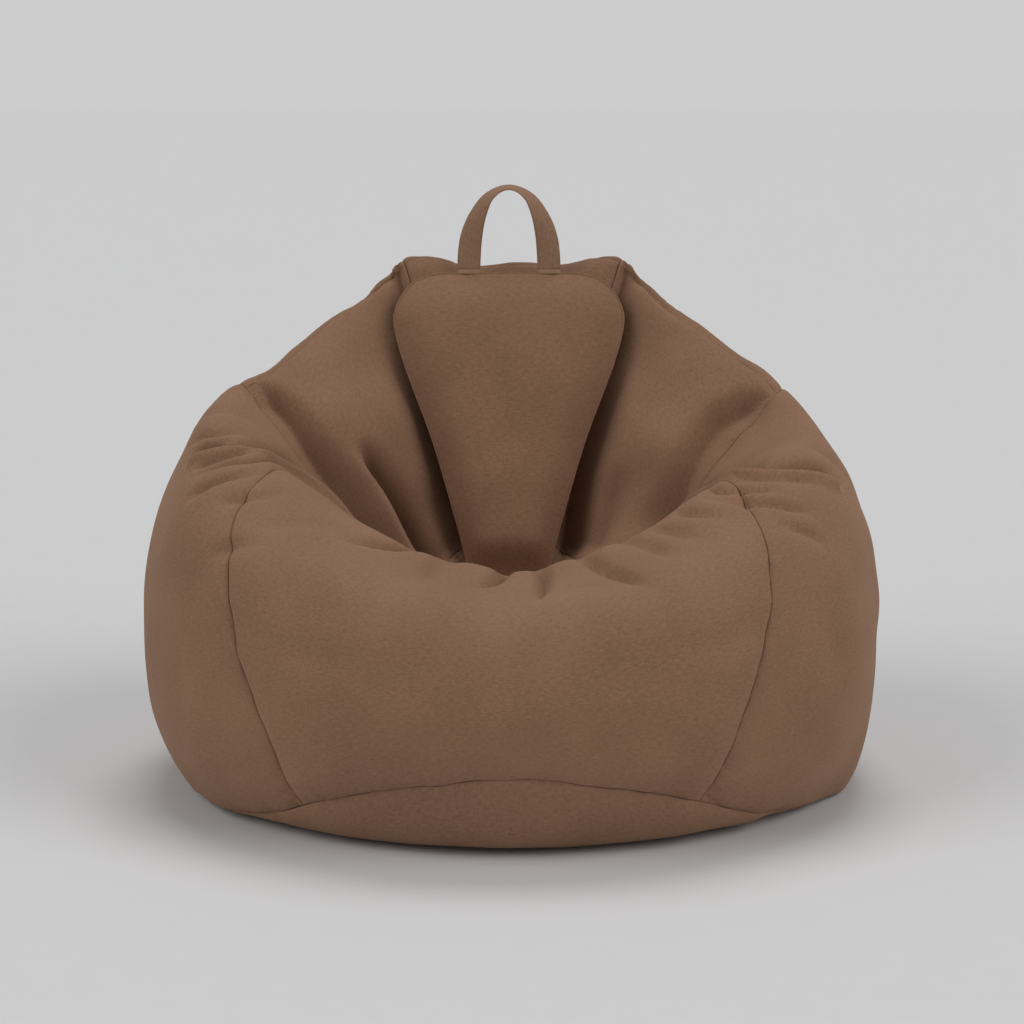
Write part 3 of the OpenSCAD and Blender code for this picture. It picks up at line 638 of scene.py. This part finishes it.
# Each panel: stations it runs between, its two edges, and how hard its start, end, low and high
# seams pull.
PANELS = {
    "front_panel": (BASE_SEAM, LOWER_WALL, left_front, right_front, (1, 1, 1, 0.2)),
    "right_side_panel": (BASE_SEAM, LOWER_WALL, right_front, rear_seam, (1, 0.6, 1, 0.2)),
    "left_side_panel": (BASE_SEAM, LOWER_WALL, left_rear, left_front, (0.6, 1, 1, 0.2)),
    "right_wing_panel": (RIM, LOWER_WALL, rear_seam, straight(EAR), (0.6, 0.7, 0.6, 0.2)),
    "left_wing_panel": (RIM, LOWER_WALL, straight(-EAR), left_rear, (0.7, 0.6, 0.6, 0.2)),
    "right_back_panel": (BASE_SEAM, RIM, rear_seam, straight(BACK), (0.6, 1, 1, 0.6)),
    "left_back_panel": (BASE_SEAM, RIM, straight(-BACK), left_rear, (1, 0.6, 1, 0.6)),
    "top_gusset": (RIM, GUSSET_FRONT, straight(EAR), straight(AROUND - EAR), (0.5, 0.5, 0.6, 0.5)),
    "back_wall_panel": (GUSSET_FRONT, LOWER_WALL, straight(EAR), straight(AROUND - EAR),
                        (0.7, 0.7, 0.5, 0.2)),
}
for panel_name, panel in PANELS.items():
    cover_panel(panel_name, *panel)

RING_POINTS = 260       # points in a ring round the bag


def ringed(stations, depth=0):
    """Rings of points round the bag, at these stations, with their normals."""
    u = np.linspace(0, AROUND, RING_POINTS, endpoint=False)[None]
    s = np.asarray(stations, float)[:, None]
    u, s = np.broadcast_arrays(u, s)
    return draped(u, s, depth)


def capped(name, rings, material, replaced, slot):
    """A dish of rings, the last of which closes to its middle."""
    rows, cols = rings.shape[:2]
    points = np.vstack([rings.reshape(-1, 3), [rings[-1].mean(0)]])
    last = (rows - 1) * cols
    fan = [[last + c, last + (c + 1) % cols, rows * cols] for c in range(cols)]
    faces = grid_faces(rows, cols, True) + fan
    return piece(name, points, faces, points[:, :2], material, "cover", [replaced], slot)


SEAT_PULL = 0.2
SEAT_SPAN = 1.9         # stations from the wall's foot to the last ring, just past the middle
seat_stations = LOWER_WALL + SEAM_CLEAR + SEAT_SPAN * np.linspace(0, 1, 44) ** 1.4
seat_rings, seat_normals = ringed(seat_stations)
seat_dip = seam_pull(arc(seat_rings, 0), np.broadcast_to(seat_rings[:1], seat_rings.shape))
seat_rings -= SEAT_PULL * seat_normals * seat_dip[..., None]
seat_rings = np.concatenate([seat_rings[:1] - seat_normals[:1] * ALLOWANCE, seat_rings])
seat = capped("seat_panel_cloth", seat_rings, COVER, "seat_panel", "cover_fabric")
solid(seat, CLOTH)

# ---- Base panels --------------------------------------------------------------------------------
ZIP_LENGTH = 500
ZIP_END = 10            # room past each end of a zip
SLOT_HALF = 8           # half width of the slot that a zip lies in
DISH_RISE = (90, 60)    # where the base's hollow starts, from the seam, and the width of its edge
DISH_FALL = (260, 120)  # where it ends, and the width of that edge
DISH_DEPTH = 0.8


def half_round(rear, centre_y, depth, high, floor, slot_half_length, cols):
    """A half of the base: rows from its seam in to the floor edge, then straight in to the zip."""
    sign = 1 if rear else -1
    quarter = np.linspace(0, BACK, 800)
    s = high + (FLOOR - high) * np.linspace(0, 1, 26)[:, None] ** 1.5
    side = [np.interp(centre_y + sign * SEAM_HALF, skin(quarter, level)[:, 1], quarter) for level in s[:, 0]]
    side = np.array(side)[:, None]
    first, last = (side, AROUND - side) if rear else (-side, side)
    u = first + (last - first) * np.linspace(0, 1, cols)[None]
    grid, normals = draped(u, np.broadcast_to(s, u.shape), depth)
    grid = grid - normals * seam_pull(arc(grid, 0), np.broadcast_to(grid[:1], grid.shape))[..., None]
    edge = grid[-1]
    slot = np.where(np.abs(edge[:, 0]) < slot_half_length, SLOT_HALF, SEAM_HALF)
    inner_y = centre_y + sign * np.minimum(slot, sign * (edge[:, 1] - centre_y))
    inner = np.stack([edge[:, 0], inner_y, edge[:, 2]], -1)
    flat = [edge + (inner - edge) * share for share in np.linspace(0, 1, 40)[1:]]
    grid = np.concatenate([grid, np.array(flat)])
    grid[..., 2] = np.maximum(grid[..., 2], floor)
    return grid


def flipped(faces):
    return [face[::-1] for face in faces]


for side in ("front", "rear"):
    half = half_round(side == "rear", centre_y=0, depth=0, high=BASE_SEAM - SEAM_CLEAR, floor=0,
                      slot_half_length=ZIP_LENGTH / 2 + 2 * ZIP_END, cols=240)
    down = arc(half, 0)
    dish = ease((down - DISH_RISE[0]) / DISH_RISE[1]) * ease((DISH_FALL[0] - down) / DISH_FALL[1])
    half[..., 2] += dish * DISH_DEPTH * (1 + ripple(half, length=60, seed=21))
    made = piece(f"base_{side}_panel_cloth", half.reshape(-1, 3), flipped(grid_faces(*half.shape[:2])),
                 flat_uvs(half).reshape(-1, 2), COVER, "cover", [f"base_{side}_panel"], "cover_fabric")
    solid(made, CLOTH)

# ---- Liner and beads ----------------------------------------------------------------------------
LINER_DEPTH = 12
LINER_BASE_DEPTH = 5
LINER_FLOOR = 10
LINER_THICK = 1
LINER_ZIP_LENGTH = 300
LINER_ZIP_Y = 60
BEAD_DEPTH = 17
BEAD_FLOOR = 16
BEAD_BUMP = 0.8
SAG_FROM = 520          # height over which the liner sags clear of the cover
SAG_SHARE = 0.45        # how much of its height over that it keeps
LINING_STATIONS = np.concatenate([np.linspace(1.25, 2, 16)[:-1], np.linspace(2, 7, 110)[:-1],
                                  np.linspace(7, 8.9, 24)])


def sagged(depth, floor):
    """Rings of the lining at this depth, drawn down out of the cover's narrow top corners."""
    rings = ringed(LINING_STATIONS, depth)[0]
    rings[..., 2] -= (1 - SAG_SHARE) * np.maximum(rings[..., 2] - SAG_FROM, 0)
    rings[..., 2] = np.maximum(rings[..., 2], floor)
    return rings


liner = capped("liner_bag", sagged(LINER_DEPTH, LINER_FLOOR), LINER_CLOTH, "liner_body", "liner_fabric")
solid(liner, LINER_THICK)

halves = [half_round(rear, centre_y=LINER_ZIP_Y, depth=LINER_BASE_DEPTH, high=1.24, floor=LINER_FLOOR,
                     slot_half_length=LINER_ZIP_LENGTH / 2 + ZIP_END, cols=120) for rear in (False, True)]
count = halves[0].shape[0] * halves[0].shape[1]
base_faces = flipped(grid_faces(*halves[0].shape[:2]))
base_faces += flipped(grid_faces(*halves[1].shape[:2], start=count))
liner_base = piece("liner_floor", np.vstack([half.reshape(-1, 3) for half in halves]), base_faces,
                   np.vstack([flat_uvs(half).reshape(-1, 2) for half in halves]), LINER_CLOTH, "cover",
                   ["liner_base"], "liner_fabric")
solid(liner_base, LINER_THICK)

FLATTER = np.array([0.5, 0.5, 1])
heap_rings = sagged(BEAD_DEPTH, BEAD_FLOOR)
heap_rings += BEAD_BUMP * ripple(heap_rings, length=11, seed=41)[..., None] * FLATTER
heap_foot = 0.02 * heap_rings[:1] + [0, 0, BEAD_FLOOR]
heap_rings = np.concatenate([heap_foot, heap_rings[:1] * FLATTER, heap_rings])
heap = capped("bead_heap", heap_rings, BEADS, "bead_fill", "beads")

# ---- Backrest pad -------------------------------------------------------------------------------
# Half of the pad's outline: [distance up the slope, half width].
PAD_SHAPE = np.array([[0, 50], [38, 58], [108, 77], [178, 98], [271, 132], [325, 146], [350, 144],
                      [373, 132], [387, 115], [395, 92]], float)
PAD_FOOT = np.array([-4, 39, 246])
PAD_SLOPE = math.atan2(145, 320)
PAD_THICK = 34
PAD_EDGE = 4            # thickness at the pad's edge
PAD_ROUND = 50          # height over which the pad's foot rounds off
PAD_TUCK = 11           # how far the cloth reaches on below the foot, into the seat
TUCK_FADE = 70          # height over which that runs out
PAD_LENGTH = PAD_SHAPE[-1, 0]
FOAM_INSET = 6
LINING_LIFT = 0.2
LINING_THICK = 0.6
PINCHES = (-54, 54)     # where the strap's ends pinch the top edge
PINCH_DEPTH = 2.2
PINCH_REACH = (9, 20)   # across, and down the slope


def pad_outline(count):
    """Distance up the slope and half width, closest together near the round top corners."""
    return curve(PAD_SHAPE, np.linspace(0, len(PAD_SHAPE) - 1, count))


def on_slope(x, up, out):
    """Points of the pad in the bag's frame, from across, up the slope and out from it."""
    lean, rise = math.sin(PAD_SLOPE), math.cos(PAD_SLOPE)
    y = PAD_FOOT[1] + up * lean - out * rise
    z = PAD_FOOT[2] + up * rise + out * lean
    return np.stack([x + PAD_FOOT[0], y, z], -1)


def pad_grid(inset, lift, rise=0, tuck=0):
    """A sheet over the pad's outline: flat, or crowned if it rises. It may reach on below the foot."""
    outline = pad_outline(110)
    share = np.sin(np.linspace(-np.pi / 2, np.pi / 2, 90))[None]
    up = np.clip(outline[:, :1], inset, PAD_LENGTH - inset)
    up = up - tuck * (1 - ease(up / TUCK_FADE))
    x = share * (outline[:, 1:] - inset)
    out = np.full(x.shape, float(lift))
    if rise:
        lengthways = ease((up + tuck) / PAD_ROUND) * (1 - np.clip(2 * up / PAD_LENGTH - 1, 0, 1) ** 8)
        crown = (1 - np.abs(share) ** 4) * lengthways
        soft = np.stack([x, np.broadcast_to(up, x.shape), 0 * x], -1)
        uneven = 1.2 * ripple(soft, length=160, seed=31) + 0.5 * ripple(soft, length=60, seed=32)
        out = out + rise * crown + crown * uneven
        for pinch in PINCHES:
            near = np.exp(-((x - pinch) / PINCH_REACH[0]) ** 2)
            out = out - PINCH_DEPTH * near * np.exp(-((PAD_LENGTH - up) / PINCH_REACH[1]) ** 2)
    up = np.broadcast_to(up, x.shape)
    return on_slope(x, up, out), np.stack([x, up], -1)


def pad_sheet(name, grid, material, replaced, slot):
    """One sheet of the pad."""
    points, uvs = grid
    return piece(name, points.reshape(-1, 3), grid_faces(*points.shape[:2]), uvs.reshape(-1, 2),
                 material, "cover", [replaced], slot)


pad_face = pad_grid(0, PAD_EDGE, PAD_THICK - PAD_EDGE, PAD_TUCK)
pad_front = pad_sheet("pad_front_cloth", pad_face, PAD_CLOTH, "pad_front", "pad_fabric")
solid(pad_front, CLOTH)
lining = pad_sheet("pad_lining_cloth", pad_grid(0, LINING_LIFT), LINING_CLOTH, "pad_lining", "lining_fabric")
solid(lining, LINING_THICK)


def foam_block():
    """The foam core: a crowned top, a flat underside and the walls between them."""
    top, uvs = pad_grid(FOAM_INSET, PAD_EDGE, PAD_THICK - PAD_EDGE - FOAM_INSET)
    low = pad_grid(FOAM_INSET, 2.2)[0]
    rows, cols = top.shape[:2]
    count = rows * cols
    foot = np.arange(cols)
    right = np.arange(1, rows) * cols + cols - 1
    head = (rows - 1) * cols + np.arange(cols - 2, -1, -1)
    left = np.arange(rows - 2, 0, -1) * cols
    rim = np.concatenate([foot, right, head, left]).tolist()
    walls = [[b, a, a + count, b + count] for a, b in zip(rim, rim[1:] + rim[:1])]
    faces = grid_faces(rows, cols) + flipped(grid_faces(rows, cols, start=count)) + walls
    points = np.vstack([top.reshape(-1, 3), low.reshape(-1, 3)])
    return piece("pad_foam_core", points, faces, np.vstack([uvs.reshape(-1, 2)] * 2), FOAM, "cover",
                 ["pad_foam"], "foam")


foam_block()

RIDGE_RADIUS = 1.5
RIDGE_SIDES = 8
RIDGE_LIFT = 3.4
RIDGE_BESIDE = 0.6      # how far the ridge lies outside the pad's sides
RIDGE_ABOVE = 0.4       # and outside its top


def swept(line, radius, sides):
    """A round cord of cloth along a line, as points, faces with closed ends, and uvs."""
    tangent = unit(np.gradient(line, axis=0))
    first = unit(np.cross(tangent, np.array([0.3, 1.0, 0.2])))
    second = np.cross(tangent, first)
    turn = np.linspace(0, 2 * np.pi, sides, endpoint=False)
    rings = line[:, None] + radius * (np.cos(turn)[None, :, None] * first[:, None]
                                      + np.sin(turn)[None, :, None] * second[:, None])
    uvs = np.stack(np.broadcast_arrays(arc(line[:, None], 0), turn[None] * radius), -1)
    return rings.reshape(-1, 3), tube_faces(len(line), sides), uvs.reshape(-1, 2)


def tube_faces(rows, sides):
    """Faces of a tube of rings, with a face over each end."""
    last = (rows - 1) * sides
    return grid_faces(rows, sides, True) + [list(range(sides))[::-1], [last + i for i in range(sides)]]


pad_side = pad_outline(160)
pad_top = np.linspace(PAD_SHAPE[-1, 1], -PAD_SHAPE[-1, 1], 40)[1:-1]
ridge_x = np.concatenate([pad_side[:, 1] + RIDGE_BESIDE, pad_top, -pad_side[::-1, 1] - RIDGE_BESIDE])
over_top = np.full(len(pad_top), PAD_LENGTH + RIDGE_ABOVE)
ridge_up = np.concatenate([pad_side[:, 0], over_top, pad_side[::-1, 0]])
ridge_line = on_slope(ridge_x, ridge_up, np.full(len(ridge_x), RIDGE_LIFT))
piece("pad_edge_ridge", *swept(ridge_line, RIDGE_RADIUS, RIDGE_SIDES), PAD_CLOTH, "cover", [], "pad_fabric")

# ---- Handle -------------------------------------------------------------------------------------
STRAP_WIDE = 30
STRAP_THICK = 3
STRAP_HOLLOW = 0.14     # how deep the rows of stitching lie, in half thicknesses
HANDLE_HIGH = 105
HANDLE_SPAN = 104
HANDLE_AXIS = np.array([-4, 207, 613])
HANDLE_TWIST = math.radians(82)
# Half of the loop, from its foot to its top, in half spans and heights.
HANDLE_HALF = np.array([[-1, 0], [-0.98, 0.2], [-0.93, 0.4], [-0.8, 0.62], [-0.57, 0.84], [-0.29, 0.96],
                        [0, 1]])
half_line = HANDLE_HALF * [HANDLE_SPAN / 2, HANDLE_HIGH]
handle_net = np.vstack([half_line, half_line[-2::-1] * [-1, 1]])
BAND_POINTS = 13        # points across each face of a band
BAND_EDGE = 0.12        # least thickness of a band, at its edges


def band(centre, wide, thick, width, thickness, hollow):
    """A flat strip along a line, with round edges and shallow rows of stitching."""
    across = np.concatenate([np.linspace(-1, 1, BAND_POINTS), np.linspace(1, -1, BAND_POINTS)])
    face = np.repeat([-1, 1], BAND_POINTS)
    edge = np.sqrt(np.clip(1 - np.abs(across) ** 10, 0, 1))
    body = (1 - hollow + hollow * np.cos(across * np.pi * 2)) * edge
    half_thick = face * thickness / 2 * np.maximum(body, BAND_EDGE)
    rings = (centre[:, None] + wide[:, None] * (across * width / 2)[None, :, None]
             + thick[:, None] * half_thick[None, :, None])
    uvs = np.stack(np.broadcast_arrays(arc(centre[:, None], 0), across[None] * width / 2), -1)
    return rings.reshape(-1, 3), tube_faces(len(centre), len(across)), uvs.reshape(-1, 2)


def strap():
    """The strap's line, and its width and thickness directions: it turns as it goes over the top."""
    at = np.linspace(0, len(handle_net) - 1, 140)
    line = curve(handle_net, at)
    way = unit(np.gradient(line, axis=0))
    out = np.stack([-way[:, 1], 0 * at, way[:, 0]], -1)
    turn = HANDLE_TWIST * np.sin(np.pi * at / (len(handle_net) - 1)) ** 2
    aside = np.array([0, 1.0, 0])
    wide = out * np.cos(turn)[:, None] + aside * np.sin(turn)[:, None]
    thick = aside * np.cos(turn)[:, None] - out * np.sin(turn)[:, None]
    return np.stack([line[:, 0], 0 * at, line[:, 1]], -1) + HANDLE_AXIS, wide, thick


piece("carry_handle_strap", *band(*strap(), STRAP_WIDE, STRAP_THICK, STRAP_HOLLOW), STRAP_CLOTH,
      "carry_handle", ["carry_handle"], "handle_fabric")

# The strap's ends, sewn into the top seam of the pad.
END_FOOT = np.array([0, 199.5, 605.5])
END_HEAD = np.array([0, 207, 612.6])
ACROSS = [1.0, 0, 0]
for side, sign in (("right", 1), ("left", -1)):
    end_x = HANDLE_AXIS[0] + sign * HANDLE_SPAN / 2
    end_line = END_FOOT + (END_HEAD - END_FOOT) * np.linspace(0, 1, 8)[:, None] + [end_x, 0, 0]
    end_wide = np.broadcast_to(ACROSS, end_line.shape)
    end_thick = np.broadcast_to(unit(np.cross(ACROSS, END_HEAD - END_FOOT)), end_line.shape)
    piece(f"{side}_handle_end", *band(end_line, end_wide, end_thick, STRAP_WIDE, STRAP_THICK, STRAP_HOLLOW),
          STRAP_CLOTH, "cover", [], "handle_fabric")

# ---- Zips ---------------------------------------------------------------------------------------
TAPE_WIDE = 16.5
TAPE_THICK = 0.8
TAPE_GAP = 3.5          # from the middle of a zip to the edge of its tapes
TAPE_HIGH = 5.4
LINER_TAPE_HIGH = 11.6
FACING_Y = 14
FACING_HIGH = 3.5
FACING_WIDE = 12
FACING_THICK = 2.9
STRIP_POINTS = 90
STRIP_SHARE = 0.9       # drawn thickness of a strip, as a share of its room
STRIP_HOLLOW = 0.05


def strip(name, length, middle, height, width, thickness, material, slot):
    """A straight strip of tape or facing along X that stands for the CAD node of the same name."""
    at = np.linspace(-length / 2, length / 2, STRIP_POINTS)
    wave = 0.05 * thickness * np.sin(at / 7)
    line = np.stack([at, np.full(STRIP_POINTS, middle), height + wave], -1)
    wide, thick = (np.broadcast_to(np.array(way, float), line.shape) for way in ((0, 1, 0), (0, 0, -1)))
    piece(name + "_woven", *band(line, wide, thick, width, thickness * STRIP_SHARE, STRIP_HOLLOW),
          material, "cover", [name], slot)


for side, sign in (("front", -1), ("rear", 1)):
    tape_y = sign * (TAPE_GAP + TAPE_WIDE / 2)
    strip(f"{side}_zip_facing", ZIP_LENGTH + 2 * ZIP_END, sign * FACING_Y, FACING_HIGH, FACING_WIDE,
          FACING_THICK, COVER, "cover_fabric")
    strip(f"{side}_zip_tape", ZIP_LENGTH + 2 * ZIP_END, tape_y, TAPE_HIGH, TAPE_WIDE, TAPE_THICK,
          ZIP_TAPE, "zip_tape")
    strip(f"{side}_liner_zip_tape", LINER_ZIP_LENGTH + 2 * ZIP_END, LINER_ZIP_Y + tape_y, LINER_TAPE_HIGH,
          TAPE_WIDE, TAPE_THICK, LINER_TAPE, "liner_zip_tape")

# Moulded and cast parts keep their CAD shape, with their edges rounded as a mould leaves them.
MOULD_RADIUS = 0.25
HARD_PARTS = {
    "front_zip_teeth": ACETAL,
    "rear_zip_teeth": ACETAL,
    "front_liner_zip_teeth": LINER_ACETAL,
    "rear_liner_zip_teeth": LINER_ACETAL,
    "zip_top_stops": ENAMEL,
    "zip_bottom_stop": ENAMEL,
    "zip_slider": ENAMEL,
    "zip_pull": ENAMEL,
    "liner_zip_stops": LINER_ENAMEL,
    "liner_zip_slider": LINER_ENAMEL,
}
for node_name, material in HARD_PARTS.items():
    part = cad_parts[node_name]
    part.data.materials.clear()
    part.data.materials.append(material)
    rounded = part.modifiers.new("moulded_edges", "BEVEL")
    rounded.width = MOULD_RADIUS * MM
    rounded.segments = 2

# ---- Care label ---------------------------------------------------------------------------------
LABEL_POINTS = 30       # points along each side
LABEL_DIRECTIONS = (BACK - 0.9, BACK - 0.6)
LABEL_FOOT = 2.06       # station at which it is sewn in
LABEL_REACH = 0.28      # stations that it reaches up
LABEL_THICK = 0.5
label_u, label_s = np.meshgrid(np.linspace(*LABEL_DIRECTIONS, LABEL_POINTS),
                               np.linspace(LABEL_FOOT, LABEL_FOOT + LABEL_REACH, LABEL_POINTS))
label_points, label_normals = draped(label_u, label_s, -1)
label_rise = (label_s - LABEL_FOOT) / LABEL_REACH
label_points += label_normals * (2.5 * label_rise + 1.5 * label_rise * np.sin(label_u * 14))[..., None]
label = piece("care_label_tape", label_points.reshape(-1, 3), grid_faces(LABEL_POINTS, LABEL_POINTS),
              flat_uvs(label_points).reshape(-1, 2), LABEL_CLOTH, "cover", ["care_label"], "label_fabric")
middle = LABEL_POINTS // 2
label_size = [float(arc(label_points, 1)[middle, -1] * MM), float(arc(label_points, 0)[-1, middle] * MM)]
solid(label, LABEL_THICK)

# ---- Stage --------------------------------------------------------------------------------------
floor_paint = grained("matt_paint", "#dbdbdb", "#dddddd", 40, 0.2, Roughness=0.9, Specular_IOR_Level=0.1)
bpy.ops.mesh.primitive_plane_add(size=80, location=(0, 0, -0.0005))
floor = bpy.context.object
floor.name = "floor"
floor.data.materials.append(floor_paint)

# The studio's walls: pale behind the floor's far edge, dimmer higher up.
world = bpy.data.worlds.new("studio")
world.use_nodes = True
sky = world.node_tree
way = add(sky, "ShaderNodeTexCoord").outputs["Generated"]
way_up = add(sky, "ShaderNodeSeparateXYZ", links={"Vector": way})
height = add(sky, "ShaderNodeMapRange", {"From Min": 0.05, "From Max": 0.35, "To Min": 0.0, "To Max": 1.0},
             {"Value": way_up.outputs["Z"]})
shades = {"A": linear("#cccccc"), "B": linear("#757577")}
wall = add(sky, "ShaderNodeMix", shades, {"Factor": height.outputs["Result"]}, data_type="RGBA")
sky.links.new(wall.outputs["Result"], sky.nodes["Background"].inputs["Color"])
bpy.context.scene.world = world
bpy.context.scene.view_settings.view_transform = "Standard"


def soft_sun(name, azimuth, elevation, strength, angle):
    """A wide, soft light from a direction round the object: azimuth 0 is in front, 90 is at +X."""
    light = bpy.data.lights.new(name, "SUN")
    light.energy = strength
    light.angle = math.radians(angle)
    lamp = bpy.data.objects.new(name, light)
    a, e = math.radians(azimuth), math.radians(elevation)
    way = Vector((math.sin(a) * math.cos(e), -math.cos(a) * math.cos(e), math.sin(e)))
    lamp.rotation_mode = "QUATERNION"
    lamp.rotation_quaternion = way.to_track_quat("Z", "Y")
    bpy.context.scene.collection.objects.link(lamp)


soft_sun("side_right", 62, 36, 1.0, 40)
soft_sun("side_left", -62, 36, 0.92, 40)
soft_sun("top", 170, 74, 0.95, 30)

TARGET = Vector((0, 0, 0.33))
CAMERA_AWAY = 3.2
CAMERA_UP = math.radians(10)
CAMERA_LENS = 91.1
camera = bpy.data.objects.new("camera", bpy.data.cameras.new("camera"))
camera.data.lens = CAMERA_LENS
camera.location = TARGET + CAMERA_AWAY * Vector((0, -math.cos(CAMERA_UP), math.sin(CAMERA_UP)))
camera.rotation_mode = "QUATERNION"
camera.rotation_quaternion = (camera.location - TARGET).to_track_quat("Z", "Y")
bpy.context.scene.collection.objects.link(camera)
bpy.context.scene.camera = camera
